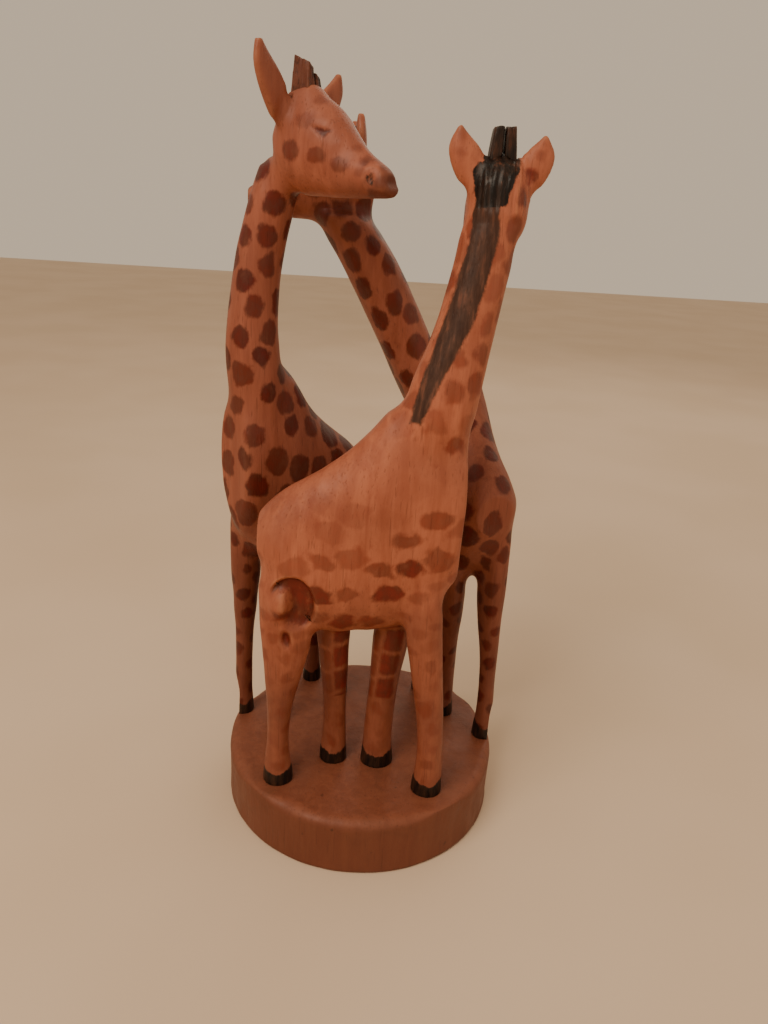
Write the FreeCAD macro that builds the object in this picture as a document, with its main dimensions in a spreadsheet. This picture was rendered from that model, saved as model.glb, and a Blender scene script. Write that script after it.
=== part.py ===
"""Carved group of three giraffes on a round base, all cut from one log.

Each region the carver worked as a thing of its own (torso, neck, head, ear, horn, leg, hoof)
is one solid, and neighbours meet face to face. Millimetres, +Z up, the origin is the
centre of the flat underside of the base. A giraffe has its own frame: +X the way its body
faces, +Y its left side, Z from the underside of the base, placed by its centre and heading.
"""
import FreeCAD, Part
import Sketcher
import os

doc = FreeCAD.newDocument("giraffe_group")
sizes = doc.addObject("Spreadsheet::Sheet", "Sizes")
rows_used = 0


def add_cells(prefix, values):
    """Writes a nest of named numbers into the sheet, one aliased row each."""
    global rows_used
    for name, value in values.items():
        if isinstance(value, dict):
            add_cells(f"{prefix}{name}_", value)
            continue
        rows_used += 1
        sizes.set(f"A{rows_used}", prefix + name)
        sizes.set(f"B{rows_used}", str(value))
        sizes.setAlias(f"B{rows_used}", prefix + name)


# The log gives the base its size, and the outer legs stand just inside its rim.
add_cells("base_", {"radius": 60, "height": 25, "rim_round": 4, "foot_chamfer": 1})

# Side outline of a torso: upright sections from the rump to the breast. "along" is in body
# lengths from the middle, and "back" and "belly" are heights above the underside of the base.
add_cells("torso_", {
    "rump": {"along": -0.50, "back": 143, "belly": 122, "half_width": 8},
    "hip": {"along": -0.40, "back": 151, "belly": 111, "half_width": 12.5},
    "flank": {"along": -0.20, "back": 161, "belly": 96, "half_width": 14.5},
    "barrel": {"along": 0.0, "back": 174, "belly": 96, "half_width": 14.5},
    "shoulder": {"along": 0.20, "back": 190, "belly": 98, "half_width": 14},
    "chest": {"along": 0.40, "back": 189, "belly": 109, "half_width": 12},
    "breast": {"along": 0.50, "back": 177, "belly": 122, "half_width": 8.5},
})
TORSO_STATIONS = ("rump", "hip", "flank", "barrel", "shoulder", "chest", "breast")

# A head, seen from the side: "along" is in head lengths from the back of the skull to the tip
# of the nose, and heights are above the head's own reference point, level with the eyes.
add_cells("head_", {
    "nape": {"along": 0, "top": 5, "jaw": -11, "half_width": 6.5},
    "crown": {"along": 0.16, "top": 14.5, "jaw": -17, "half_width": 10},
    "brow": {"along": 0.36, "top": 14, "jaw": -17.5, "half_width": 10},
    "cheek": {"along": 0.60, "top": 6, "jaw": -17.5, "half_width": 8},
    "nose": {"along": 0.81, "top": -3.5, "jaw": -17.5, "half_width": 6},
    "lips": {"along": 0.95, "top": -7.5, "jaw": -17.3, "half_width": 4.7},
    "tip": {"along": 1, "top": -9.5, "jaw": -16.7, "half_width": 3.4},
})
HEAD_STATIONS = ("nape", "crown", "brow", "cheek", "nose", "lips", "tip")

# An ear is a leaf standing beside the crown; the horns are a pair of square posts.
add_cells("ear_", {
    "root_thick": 2.4, "leaf_thick": 2.8, "tip_thick": 1.2, "root_wide": 4.2, "leaf_wide": 6.2,
    "tip_wide": 1.8,
    "along": 7, "root_side": 6, "root_height": 2})
add_cells("horn_", {
    "deep": 9, "wide": 5.2, "taper": 3, "gap": 0.4, "corner": 0.6, "along": 10, "root_height": 4})

# Hooves are a painted band round the foot of each leg.
add_cells("leg_", {
    "hoof_height": 5.5, "hoof_flare": 1.08, "shin_height": 62, "thigh_height": 88,
    "shin_slim": 0.9, "thigh_share": 0.5, "foot_side_share": 0.92, "top_half_side": 5.9})

# What differs from one giraffe to the next: where it stands, how long its body is, how far
# its back and belly lie above the usual heights and how high its legs run up into it, the path
# of its neck, where its head is and which way the nose points, and where its feet are.
GIRAFFES = {
    "front": {
        "place": {"east": -4.5, "north": -30, "heading": 0, "body": 75, "back_lift": 0,
                  "belly_lift": 0, "leg_top": 122},
        "neck": {
            "root": {"along": 21, "side": 0, "height": 166, "lean": 25, "half_depth": 17,
                     "half_width": 11},
            "low": {"along": 29, "side": 0, "height": 197, "lean": 30, "half_depth": 12.2,
                    "half_width": 10},
            "mid": {"along": 34.5, "side": 2, "height": 225, "lean": 7, "half_depth": 9.7,
                    "half_width": 8.6},
            "top": {"along": 39, "side": 5, "height": 252, "lean": 0, "half_depth": 9.6,
                    "half_width": 8.6}},
        "skull": {"east": 35.3, "north": -32, "height": 254, "yaw": 90, "length": 50.5, "nose_lift": 0,
                  "horn_length": 23.5,
                  "left_ear_length": 19.5, "left_ear_spread": 9, "right_ear_length": 18,
                  "right_ear_spread": 7.5},
        "hind_outer": {"foot_along": -29.5, "foot_side": -4.3, "top_along": -25, "top_side": -5,
                       "half": 6, "top_half": 12.5},
        "hind_inner": {"foot_along": -7.3, "foot_side": 11, "top_along": -10, "top_side": 6, "half": 5.6,
                       "top_half": 8},
        "fore_outer": {"foot_along": 32.8, "foot_side": -6.9, "top_along": 25, "top_side": -5.5,
                       "half": 6, "top_half": 7.5},
        "fore_inner": {"foot_along": 11.8, "foot_side": 10.6, "top_along": 16.5, "top_side": 6,
                       "half": 6.8, "top_half": 7.5}},
    "left": {
        "place": {"east": -33.5, "north": 17, "heading": 225, "body": 64, "back_lift": 4,
                  "belly_lift": 8, "leg_top": 138},
        "neck": {
            "root": {"along": 17.5, "side": 1.5, "height": 166, "lean": 20, "half_depth": 14,
                     "half_width": 11.5},
            "low": {"along": 23, "side": 0.5, "height": 198, "lean": 8, "half_depth": 10.4,
                    "half_width": 9.8},
            "mid": {"along": 21, "side": 1.5, "height": 229, "lean": -5, "half_depth": 8.9,
                    "half_width": 8.5},
            "top": {"along": 14.5, "side": 7.5, "height": 262, "lean": -10, "half_depth": 8.2,
                    "half_width": 8.2}},
        "skull": {"east": -38, "north": 0, "height": 270.5, "yaw": 325, "length": 46.5, "nose_lift": 0,
                  "horn_length": 24.5,
                  "left_ear_length": 20.5, "left_ear_spread": 15, "right_ear_length": 25,
                  "right_ear_spread": 15},
        "hind_outer": {"foot_along": -22.4, "foot_side": -13, "top_along": -17, "top_side": -7,
                       "half": 4.5, "top_half": 9},
        "hind_inner": {"foot_along": -24.3, "foot_side": 5, "top_along": -17, "top_side": 7, "half": 4.5,
                       "top_half": 9},
        "fore_outer": {"foot_along": 19.5, "foot_side": -12.4, "top_along": 20.5, "top_side": -8.2,
                       "half": 4.4, "top_half": 6.8},
        "fore_inner": {"foot_along": 12.5, "foot_side": 4, "top_along": 17, "top_side": 7, "half": 4.5,
                       "top_half": 6}},
    "right": {
        "place": {"east": 38.5, "north": 19.5, "heading": 110, "body": 62, "back_lift": 4,
                  "belly_lift": 8, "leg_top": 138},
        "neck": {
            "root": {"along": 15, "side": 4.5, "height": 167, "lean": 15, "half_depth": 17,
                     "half_width": 13},
            "low": {"along": 19, "side": 18.5, "height": 190, "lean": 10, "half_depth": 12,
                    "half_width": 11.8},
            "mid": {"along": 20.5, "side": 33.5, "height": 218, "lean": 5, "half_depth": 11.6,
                    "half_width": 11.5},
            "top": {"along": 26, "side": 53, "height": 249, "lean": 0, "half_depth": 11.3,
                    "half_width": 11.2}},
        "skull": {"east": -7, "north": 30, "height": 259.5, "yaw": 187, "length": 48.5, "nose_lift": 5,
                  "horn_length": 20,
                  "left_ear_length": 20, "left_ear_spread": 8, "right_ear_length": 20,
                  "right_ear_spread": 8},
        "hind_outer": {"foot_along": -22, "foot_side": -10.6, "top_along": -20, "top_side": -7,
                       "half": 4.6, "top_half": 9},
        "hind_inner": {"foot_along": -0.5, "foot_side": 0, "top_along": -10, "top_side": 6, "half": 5.2,
                       "top_half": 8},
        "fore_outer": {"foot_along": 23, "foot_side": -8, "top_along": 18, "top_side": -7, "half": 4.8,
                       "top_half": 7},
        "fore_inner": {"foot_along": 20, "foot_side": 3, "top_along": 16, "top_side": 7, "half": 4.8,
                       "top_half": 7}},
}
for giraffe_name, giraffe_sizes in GIRAFFES.items():
    add_cells(f"{giraffe_name}_", giraffe_sizes)
NECK_LEVELS = ("root", "low", "mid", "top")
LEGS = ("hind_outer", "hind_inner", "fore_outer", "fore_inner")

# The gouged hollow in the front giraffe's outer thigh.
add_cells("hollow_", {"along": -22.5, "side": -15, "height": 110.5,
                      "half_long": 14, "half_wide": 8, "half_deep": 4.5})
doc.recompute()


def bind(thing, **expressions):
    """Ties properties of an object to expressions over the sheet."""
    for path, expression in expressions.items():
        thing.setExpression(path.replace("__", "."), str(expression))


def ellipse(name, along, side, height, lean, half_major, half_minor):
    """An elliptic section whose normal leans from upright towards +X by the angle "lean"."""
    section = doc.addObject("Part::Ellipse", name)
    section.Placement = FreeCAD.Placement(FreeCAD.Vector(), FreeCAD.Rotation(FreeCAD.Vector(0, 1, 0), 10))
    bind(section, MajorRadius=half_major, MinorRadius=half_minor, Placement__Base__x=along,
         Placement__Base__y=side, Placement__Base__z=height, Placement__Rotation__Angle=lean)
    return section


def loft(name, sections, east, north, height, angle):
    """A solid through the sections, standing at a place and turned about the vertical."""
    solid = doc.addObject("Part::Loft", name)
    solid.Sections = sections
    solid.Solid = True
    bind(solid, Placement__Base__x=east, Placement__Base__y=north, Placement__Base__z=height,
         Placement__Rotation__Angle=angle)
    return solid


def cut(name, base, *tools):
    """What is left of a solid outside its neighbours."""
    for number, tool in enumerate(tools):
        remains = doc.addObject("Part::Cut", f"{name}_{number}")
        remains.Base = base
        remains.Tool = tool
        base = remains
    return base


def at_body(giraffe):
    """Where a giraffe's own frame stands."""
    place = f"Sizes.{giraffe}_place_"
    return place + "east", place + "north", "0 mm", place + "heading"


def upright_section(name, along, cell):
    """A section across the body, from the height in its top cell to the one in its bottom cell."""
    top, bottom, half_width = cell
    middle = f"(({top}) + ({bottom})) / 2"
    half_height = f"(({top}) - ({bottom})) / 2"
    return ellipse(name, along, "0 mm", middle, "90", half_height, half_width)


def make_torso(giraffe):
    place = f"Sizes.{giraffe}_place_"
    sections = []
    for station in TORSO_STATIONS:
        cell = f"Sizes.torso_{station}_"
        sections.append(upright_section(
            f"{giraffe}_torso_{station}", f"{cell}along * {place}body",
            (f"{cell}back + {place}back_lift", f"{cell}belly + {place}belly_lift", cell + "half_width")))
    return loft(f"{giraffe}_torso_whole", sections, *at_body(giraffe))


def neck_section(giraffe, level):
    cell = f"Sizes.{giraffe}_neck_{level}_"
    return ellipse(f"{giraffe}_neck_{level}", cell + "along", cell + "side", cell + "height",
                   cell + "lean", cell + "half_depth", cell + "half_width")


def make_neck(giraffe, torso, head):
    """Rises out of the shoulders, so its root starts inside the torso."""
    sections = [neck_section(giraffe, level) for level in NECK_LEVELS]
    whole = loft(f"{giraffe}_neck_whole", sections, *at_body(giraffe))
    return cut(f"{giraffe}_neck_cut", whole, torso, head)


def at_skull(giraffe, turn=0):
    skull = f"Sizes.{giraffe}_skull_"
    return skull + "east", skull + "north", skull + "height", f"{skull}yaw + {turn}"


def make_head(giraffe):
    skull = f"Sizes.{giraffe}_skull_"
    sections = []
    for station in HEAD_STATIONS:
        cell = f"Sizes.head_{station}_"
        lift = f"{skull}nose_lift * {cell}along"
        sections.append(upright_section(
            f"{giraffe}_head_{station}", f"{cell}along * {skull}length",
            (f"{cell}top + {lift}", f"{cell}jaw + {lift}", cell + "half_width")))
    return loft(f"{giraffe}_head", sections, *at_skull(giraffe))


def make_ear(giraffe, side_name, side, head, horn):
    """An upright leaf; its sections' long axes lie across the head."""
    reach = f"Sizes.{giraffe}_skull_{side_name}_ear_"
    sections = []
    for part, share in (("root", 0), ("leaf", 0.55), ("tip", 1)):
        height = f"Sizes.ear_root_height + {share} * {reach}length"
        sections.append(ellipse(
            f"{giraffe}_{side_name}_ear_{part}",
            f"{side} * (Sizes.ear_root_side + {share} * {reach}spread)",
            "-Sizes.ear_along", height, "0", f"Sizes.ear_{part}_wide", f"Sizes.ear_{part}_thick"))
    whole = loft(f"{giraffe}_{side_name}_ear_whole", sections, *at_skull(giraffe, 90))
    return cut(f"{giraffe}_{side_name}_ear_cut", whole, head, horn)


def make_horn(giraffe, side_name, side, head):
    """A square post that tapers upwards, one of a pair with a saw cut between them."""
    body = doc.addObject("PartDesign::Body", f"{giraffe}_{side_name}_horn_whole")
    ground = [plane for plane in body.Origin.OriginFeatures if plane.Role == "XY_Plane"][0]
    outline = body.newObject("Sketcher::SketchObject", f"{giraffe}_{side_name}_horn_outline")
    outline.AttachmentSupport = [(ground, "")]
    outline.MapMode = "FlatFace"
    corners = [(-4, -2), (4, -2), (4, 2), (-4, 2)]
    for start, end in zip(corners, corners[1:] + corners[:1]):
        outline.addGeometry(Part.LineSegment(FreeCAD.Vector(*start, 0), FreeCAD.Vector(*end, 0)))
    for line in range(4):
        outline.addConstraint(Sketcher.Constraint("Coincident", line, 2, (line + 1) % 4, 1))
    for line, way in enumerate(("Horizontal", "Vertical", "Horizontal", "Vertical")):
        outline.addConstraint(Sketcher.Constraint(way, line))
    outline.addConstraint(Sketcher.Constraint("Symmetric", 0, 1, 1, 2, -1, 1))
    deep = outline.addConstraint(Sketcher.Constraint("DistanceX", 0, 1, 0, 2, 8))
    wide = outline.addConstraint(Sketcher.Constraint("DistanceY", 1, 1, 1, 2, 4))
    outline.setExpression(f"Constraints[{deep}]", "Sizes.horn_deep")
    outline.setExpression(f"Constraints[{wide}]", "Sizes.horn_wide")
    post = body.newObject("PartDesign::Pad", f"{giraffe}_{side_name}_horn_post")
    post.Profile = outline
    bind(post, Length=f"Sizes.{giraffe}_skull_horn_length - Sizes.horn_root_height",
         TaperAngle="-Sizes.horn_taper")
    doc.recompute()
    rounding = body.newObject("PartDesign::Fillet", f"{giraffe}_{side_name}_horn_corners")
    upright = [f"Edge{number}" for number, edge in enumerate(post.Shape.Edges, 1)
               if abs(edge.tangentAt(edge.FirstParameter).z) > 0.9]
    rounding.Base = (post, upright)
    bind(rounding, Radius="Sizes.horn_corner")
    east, north, height, yaw = at_skull(giraffe)
    offset = f"{side} * (Sizes.horn_wide + Sizes.horn_gap) / 2"
    bind(body,
         Placement__Base__x=f"{east} + Sizes.horn_along * cos({yaw}) - {offset} * sin({yaw})",
         Placement__Base__y=f"{north} + Sizes.horn_along * sin({yaw}) + {offset} * cos({yaw})",
         Placement__Base__z=f"{height} + Sizes.horn_root_height",
         Placement__Rotation__Angle=yaw)
    return cut(f"{giraffe}_{side_name}_horn_cut", body, head)


def leg_section(giraffe, leg, level, height, share, half, half_side):
    """A level section; "share" is how far it has moved from over the foot to under the hip."""
    cell = f"Sizes.{giraffe}_{leg}_"
    across = [f"{cell}foot_{way} + ({cell}top_{way} - {cell}foot_{way}) * {share}"
              for way in ("along", "side")]
    return ellipse(f"{giraffe}_{leg}_{level}", *across, height, "0", half, half_side)


def make_leg_and_hoof(giraffe, leg, torso, base):
    """The hoof stands on the base and follows its rim; the leg ends against the torso."""
    foot_half = f"Sizes.{giraffe}_{leg}_half"
    top_half = f"Sizes.{giraffe}_{leg}_top_half"
    foot_side = f"{foot_half} * Sizes.leg_foot_side_share"
    hoof_top = "Sizes.base_height + Sizes.leg_hoof_height"
    sole = leg_section(giraffe, leg, "sole", "Sizes.base_height - Sizes.base_rim_round", 0,
                       f"{foot_half} * Sizes.leg_hoof_flare", f"{foot_side} * Sizes.leg_hoof_flare")
    coronet = leg_section(giraffe, leg, "coronet", hoof_top, 0, foot_half, foot_side)
    shin = leg_section(giraffe, leg, "shin", "Sizes.leg_shin_height", 0.15,
                       f"{foot_half} * Sizes.leg_shin_slim", f"{foot_side} * Sizes.leg_shin_slim")
    thigh = leg_section(giraffe, leg, "thigh", "Sizes.leg_thigh_height", 0.6,
                        f"{foot_half} + ({top_half} - {foot_half}) * Sizes.leg_thigh_share",
                        f"{foot_side} + (Sizes.leg_top_half_side - {foot_side}) * Sizes.leg_thigh_share")
    top = leg_section(giraffe, leg, "top", f"Sizes.{giraffe}_place_leg_top", 1, top_half,
                      "Sizes.leg_top_half_side")
    whole_hoof = loft(f"{giraffe}_{leg}_hoof_whole", [sole, coronet], *at_body(giraffe))
    whole_leg = loft(f"{giraffe}_{leg}_leg_whole", [coronet, shin, thigh, top], *at_body(giraffe))
    leg_piece = cut(f"{giraffe}_{leg}_leg_cut", whole_leg, torso)
    return leg_piece, cut(f"{giraffe}_{leg}_hoof_cut", whole_hoof, base)


def make_hollow():
    """The volume gouged out of the front giraffe's thigh."""
    hollow = doc.addObject("Part::Ellipsoid", "front_thigh_hollow")
    bind(hollow, Radius1="Sizes.hollow_half_long", Radius2="Sizes.hollow_half_wide",
         Radius3="Sizes.hollow_half_deep", Placement__Base__z="Sizes.hollow_height",
         Placement__Base__x="Sizes.front_place_east + Sizes.hollow_along",
         Placement__Base__y="Sizes.front_place_north + Sizes.hollow_side")
    return hollow


def make_base():
    """The uncarved end of the log: a disc with a softened rim."""
    body = doc.addObject("PartDesign::Body", "base")
    ground = [plane for plane in body.Origin.OriginFeatures if plane.Role == "XY_Plane"][0]
    outline = body.newObject("Sketcher::SketchObject", "base_outline")
    outline.AttachmentSupport = [(ground, "")]
    outline.MapMode = "FlatFace"
    outline.addGeometry(Part.Circle(FreeCAD.Vector(), FreeCAD.Vector(0, 0, 1), 50))
    outline.addConstraint(Sketcher.Constraint("Coincident", 0, 3, -1, 1))
    radius = outline.addConstraint(Sketcher.Constraint("Radius", 0, 50))
    outline.setExpression(f"Constraints[{radius}]", "Sizes.base_radius")
    disc = body.newObject("PartDesign::Pad", "base_disc")
    disc.Profile = outline
    bind(disc, Length="Sizes.base_height")
    doc.recompute()
    rims = {edge.CenterOfMass.z > 1: f"Edge{number}" for number, edge in enumerate(disc.Shape.Edges, 1)
            if edge.Closed}
    rim = body.newObject("PartDesign::Fillet", "base_rim")
    rim.Base = (disc, [rims[True]])
    bind(rim, Radius="Sizes.base_rim_round")
    doc.recompute()
    lowest = [f"Edge{number}" for number, edge in enumerate(rim.Shape.Edges, 1)
              if edge.Closed and edge.CenterOfMass.z < 1]
    foot = body.newObject("PartDesign::Chamfer", "base_foot")
    foot.Base = (rim, lowest)
    bind(foot, Size="Sizes.base_foot_chamfer")
    return body


def make_giraffe(giraffe, base):
    """All the regions of one giraffe, under the names that their files get."""
    pieces = {}
    torso = make_torso(giraffe)
    head = make_head(giraffe)
    pieces["torso"] = torso
    pieces["neck"] = make_neck(giraffe, torso, head)
    pieces["head"] = head
    for side_name, side in (("left", 1), ("right", -1)):
        horn = make_horn(giraffe, side_name, side, head)
        pieces[f"{side_name}_horn"] = horn
        pieces[f"{side_name}_ear"] = make_ear(giraffe, side_name, side, head, horn)
    for leg in LEGS:
        pieces[f"{leg}_leg"], pieces[f"{leg}_hoof"] = make_leg_and_hoof(giraffe, leg, torso, base)
    return pieces


parts = {"base": make_base()}
for giraffe_name in GIRAFFES:
    for region, piece in make_giraffe(giraffe_name, parts["base"]).items():
        parts[f"{giraffe_name}_{region}"] = piece
hollow = make_hollow()
for hollowed in ("front_torso", "front_hind_outer_leg"):
    parts[hollowed] = cut(f"{hollowed}_hollowed", parts[hollowed], hollow)
doc.recompute()

for thing in doc.Objects:
    if {"Invalid", "Error"} & set(thing.State):
        raise RuntimeError(f"{thing.Name} did not build: {thing.State}")
for node, piece in parts.items():
    shape = piece.Shape
    if shape.isNull() or not shape.isValid() or len(shape.Solids) != 1:
        raise RuntimeError(f"{node} is not one valid solid: {len(shape.Solids)} solids")

os.makedirs("parts", exist_ok=True)
for node, piece in parts.items():
    piece.Label = node
    piece.Shape.exportStep(f"parts/{piece.Label}.step")
print(len(parts), "sub-parts written")
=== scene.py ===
"""Looks for the carved group of three giraffes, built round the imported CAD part.

Each giraffe's CAD regions are joined, remeshed and smoothed into one carved skin, sculpted, given
its painted marks as point attributes, and split again into one closed piece for each CAD node.
Shaping is worked out in millimetres; meshes are made in metres, in the CAD frame.
"""
import itertools
import math

import bpy
import numpy as np
from mathutils import Euler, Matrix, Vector
from mathutils.bvhtree import BVHTree


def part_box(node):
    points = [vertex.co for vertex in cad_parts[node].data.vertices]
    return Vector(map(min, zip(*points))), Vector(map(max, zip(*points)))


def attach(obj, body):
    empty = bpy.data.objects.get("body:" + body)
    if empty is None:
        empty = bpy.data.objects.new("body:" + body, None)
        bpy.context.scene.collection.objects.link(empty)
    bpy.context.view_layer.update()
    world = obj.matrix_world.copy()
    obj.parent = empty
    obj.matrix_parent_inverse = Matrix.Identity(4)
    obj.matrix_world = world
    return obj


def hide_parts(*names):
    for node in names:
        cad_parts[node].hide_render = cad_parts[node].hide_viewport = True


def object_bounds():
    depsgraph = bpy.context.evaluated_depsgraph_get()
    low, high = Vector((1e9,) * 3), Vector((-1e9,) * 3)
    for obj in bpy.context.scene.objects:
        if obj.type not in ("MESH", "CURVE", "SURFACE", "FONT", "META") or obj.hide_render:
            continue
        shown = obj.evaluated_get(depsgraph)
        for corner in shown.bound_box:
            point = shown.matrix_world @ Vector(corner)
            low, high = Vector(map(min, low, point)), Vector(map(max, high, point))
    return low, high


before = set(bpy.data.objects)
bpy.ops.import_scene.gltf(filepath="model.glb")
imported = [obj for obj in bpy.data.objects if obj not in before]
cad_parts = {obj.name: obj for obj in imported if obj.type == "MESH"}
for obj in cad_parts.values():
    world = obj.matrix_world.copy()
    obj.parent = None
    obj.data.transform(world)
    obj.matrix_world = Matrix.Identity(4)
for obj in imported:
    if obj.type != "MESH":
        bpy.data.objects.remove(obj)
cad_low, cad_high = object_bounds()

MM = 0.001
VOXEL = 0.6
HORN_VOXEL = 0.4

# Skins stay this far inside the CAD's bounds.
CLEAR = 0.05

# Marks are millimetres inside a painted edge, up to this on both sides of it.
MARK_LIMIT = 3.0

GIRAFFES = ("front", "left", "right")
LEGS = ("hind_outer", "hind_inner", "fore_outer", "fore_inner")
SIDES = {"left": 1, "right": -1}
SKIN_REGIONS = (["torso", "neck", "head", "left_ear", "right_ear"]
                + [f"{leg}_{part}" for leg in LEGS for part in ("leg", "hoof")])

# Which way the mane faces round the neck, in degrees from +X, at its foot and at its head end.
MANE = {"front": (229, 253), "left": (94, 123), "right": (20, 20)}
MANE_HEIGHTS = (188, 236)

# The middle of the gouged hollow in the front giraffe's thigh.
HOLLOW = np.array([-27.0, -45.0, 110.5])

# The horns' sides lean in by this angle; the saw cut between them stays narrow to the top.
HORN_TAPER = 3.0

# Hooves farther than this from the middle of the base stand at its rim.
RIM_HOOF = 40

# Wood left on behind the left giraffe's cheeks: along its head, to its left and up, with half sizes.
NAPE_FILL = {"left": ((-3.2, 0, -13.0), (6.0, 5.5, 9.0))}

# Places on a head: how far along it, as a share of its length, and how far up in mm.
EYE = (0.51, 1.4)
NOSTRIL = (0.90, -12.0)

# Swellings and dents on each cheek: share along, mm up, half length, half height and rise in mm.
HEAD_FORMS = {
    "brow": (0.50, 4.6, 7.5, 2.6, 0.25),
    "muzzle_dip": (0.70, -5.0, 8, 4.5, -0.5),
    "jaw": (0.30, -8, 9, 7, 0.6),
}

# Ovals in the thigh, from the hollow's middle: mm towards the chest, mm up, half width, half height.
GOUGE = (-1.5, 0, 9.5, 13.0)
LUMP = (-5.5, 0.5, 6.5, 8.0)
SPLINTER = (-6.0, -15.5, 3.0, 5.5)
BEHIND = (-6, 0, 9, 15)
THIGH_DEPTH = 10


# ---------------------------------------------------------------- arrays and meshes

def cad_surface(nodes):
    """Points, triangles and each triangle's place in the list of nodes."""
    points, triangles, owners, start = [], [], [], 0
    for number, node in enumerate(nodes):
        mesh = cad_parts[node].data
        mesh.calc_loop_triangles()
        co = np.empty(len(mesh.vertices) * 3, np.float32)
        mesh.vertices.foreach_get("co", co)
        corners = np.empty(len(mesh.loop_triangles) * 3, np.int32)
        mesh.loop_triangles.foreach_get("vertices", corners)
        points.append(co.reshape(-1, 3) / MM)
        triangles.append(corners.reshape(-1, 3) + start)
        owners.append(np.full(len(corners) // 3, number))
        start += len(points[-1])
    return np.vstack(points).astype(float), np.vstack(triangles), np.concatenate(owners)


def remeshed(points, triangles, voxel):
    """One even skin of quads round everything in the triangles."""
    mesh = bpy.data.meshes.new("raw")
    mesh.from_pydata((points * MM).tolist(), [], triangles.tolist())
    thing = bpy.data.objects.new("raw", mesh)
    bpy.context.scene.collection.objects.link(thing)
    modifier = thing.modifiers.new("skin", "REMESH")
    modifier.mode = "VOXEL"
    modifier.voxel_size = voxel * MM
    graph = bpy.context.evaluated_depsgraph_get()
    made = bpy.data.meshes.new_from_object(thing.evaluated_get(graph), depsgraph=graph)
    co = np.empty(len(made.vertices) * 3, np.float32)
    made.vertices.foreach_get("co", co)
    corners = np.empty(len(made.loops), np.int32)
    made.loops.foreach_get("vertex_index", corners)
    bpy.data.objects.remove(thing)
    bpy.data.meshes.remove(mesh)
    bpy.data.meshes.remove(made)
    return co.reshape(-1, 3).astype(float) / MM, corners.reshape(-1, 4)


def edges_of(faces):
    """Each edge once, as a pair of point numbers."""
    after = np.roll(faces, -1, 1)
    pairs = np.stack([faces.ravel(), after.ravel()], 1)
    return np.unique(np.sort(pairs, 1), axis=0)


def neighbour_mean(values, edges):
    """The mean over each point's neighbours."""
    count = np.bincount(edges.ravel(), minlength=len(values))
    columns = []
    for column in np.atleast_2d(values.T):
        total = np.bincount(edges[:, 0], column[edges[:, 1]], len(values))
        total += np.bincount(edges[:, 1], column[edges[:, 0]], len(values))
        columns.append(total / np.maximum(count, 1))
    return np.stack(columns, 1) if values.ndim > 1 else columns[0]


def smoothed(values, edges, weight, rounds):
    for _ in range(rounds):
        mean = neighbour_mean(values, edges)
        share = weight[:, None] if values.ndim > 1 else weight
        values = values + 0.5 * share * (mean - values)
    return values


def normals_of(points, quads):
    corners = points[quads]
    diagonals = np.cross(corners[:, 2] - corners[:, 0], corners[:, 3] - corners[:, 1])
    total = np.zeros_like(points)
    for corner in range(4):
        for axis in range(3):
            total[:, axis] += np.bincount(quads[:, corner], diagonals[:, axis], len(points))
    return total / np.maximum(np.linalg.norm(total, axis=1), 1e-9)[:, None]


def ripple(points, size, seed):
    """Smooth seeded noise from -1 to 1 that changes over "size" millimetres."""
    table = np.random.default_rng(seed).uniform(-1, 1, (32, 32, 32))
    scaled = points / np.asarray(size, float)
    cell = np.floor(scaled).astype(int)
    share = scaled - cell
    share = share * share * (3 - 2 * share)
    total = 0
    for corner in itertools.product((0, 1), repeat=3):
        weight = np.prod(np.where(corner, share, 1 - share), axis=1)
        index = (cell + corner) % 32
        total = total + weight * table[index[:, 0], index[:, 1], index[:, 2]]
    return total


def ramp(value, low, high):
    """0 below low, 1 above high, smooth between."""
    share = np.clip((value - low) / (high - low), 0, 1)
    return share * share * (3 - 2 * share)


def bump(distance):
    """A rounded hill: 1 at 0 and 0 from 1 outwards."""
    return np.clip(1 - distance ** 2, 0, 1) ** 2


def oval(across, up, middle_across, middle_up, half_across, half_up):
    """Distance from an oval's middle: 1 on its outline."""
    return np.hypot((across - middle_across) / half_across, (up - middle_up) / half_up)


# ---------------------------------------------------------------- frames of heads, necks and legs

class Head:
    """A head's own axes, from its horns: along the nose, to its left, and up."""

    BEHIND_HORNS = 10
    BELOW_CROWN = 14.5

    def __init__(self, giraffe):
        middles = {}
        for side in SIDES:
            low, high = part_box(f"{giraffe}_{side}_horn")
            middles[side] = (np.array(low) + np.array(high)) / 2 / MM
        self.left = middles["left"] - middles["right"]
        self.left[2] = 0
        self.left /= np.linalg.norm(self.left)
        self.nose = np.cross(self.left, (0, 0, 1))
        low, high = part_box(f"{giraffe}_head")
        self.origin = (middles["left"] + middles["right"]) / 2 - self.BEHIND_HORNS * self.nose
        self.origin[2] = high.z / MM - self.BELOW_CROWN
        surface = cad_surface([f"{giraffe}_head"])[0]
        self.length = ((surface - self.origin) @ self.nose).max()

    def local(self, points):
        """Along the nose as a share of the head's length, to the left, and up, in mm."""
        away = points - self.origin
        return away @ self.nose / self.length, away @ self.left, away[:, 2]


class Axis:
    """The line up the middle of a neck or leg, as a function of height."""

    def __init__(self, node, step=4):
        points = cad_surface([node])[0]
        self.heights, middles = [], []
        for height in np.arange(points[:, 2].min(), points[:, 2].max() + step, step):
            near = points[np.abs(points[:, 2] - height) < step]
            if len(near) > 6:
                middle = (near[:, :2].min(0) + near[:, :2].max(0)) / 2
                self.heights.append(height)
                middles.append(middle)
        self.middles = np.array(middles)

    def round(self, points):
        """Distance from the line, and the direction round it in degrees from +X."""
        x = points[:, 0] - np.interp(points[:, 2], self.heights, self.middles[:, 0])
        y = points[:, 1] - np.interp(points[:, 2], self.heights, self.middles[:, 1])
        return np.hypot(x, y), np.degrees(np.arctan2(y, x))


# ---------------------------------------------------------------- carving

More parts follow.
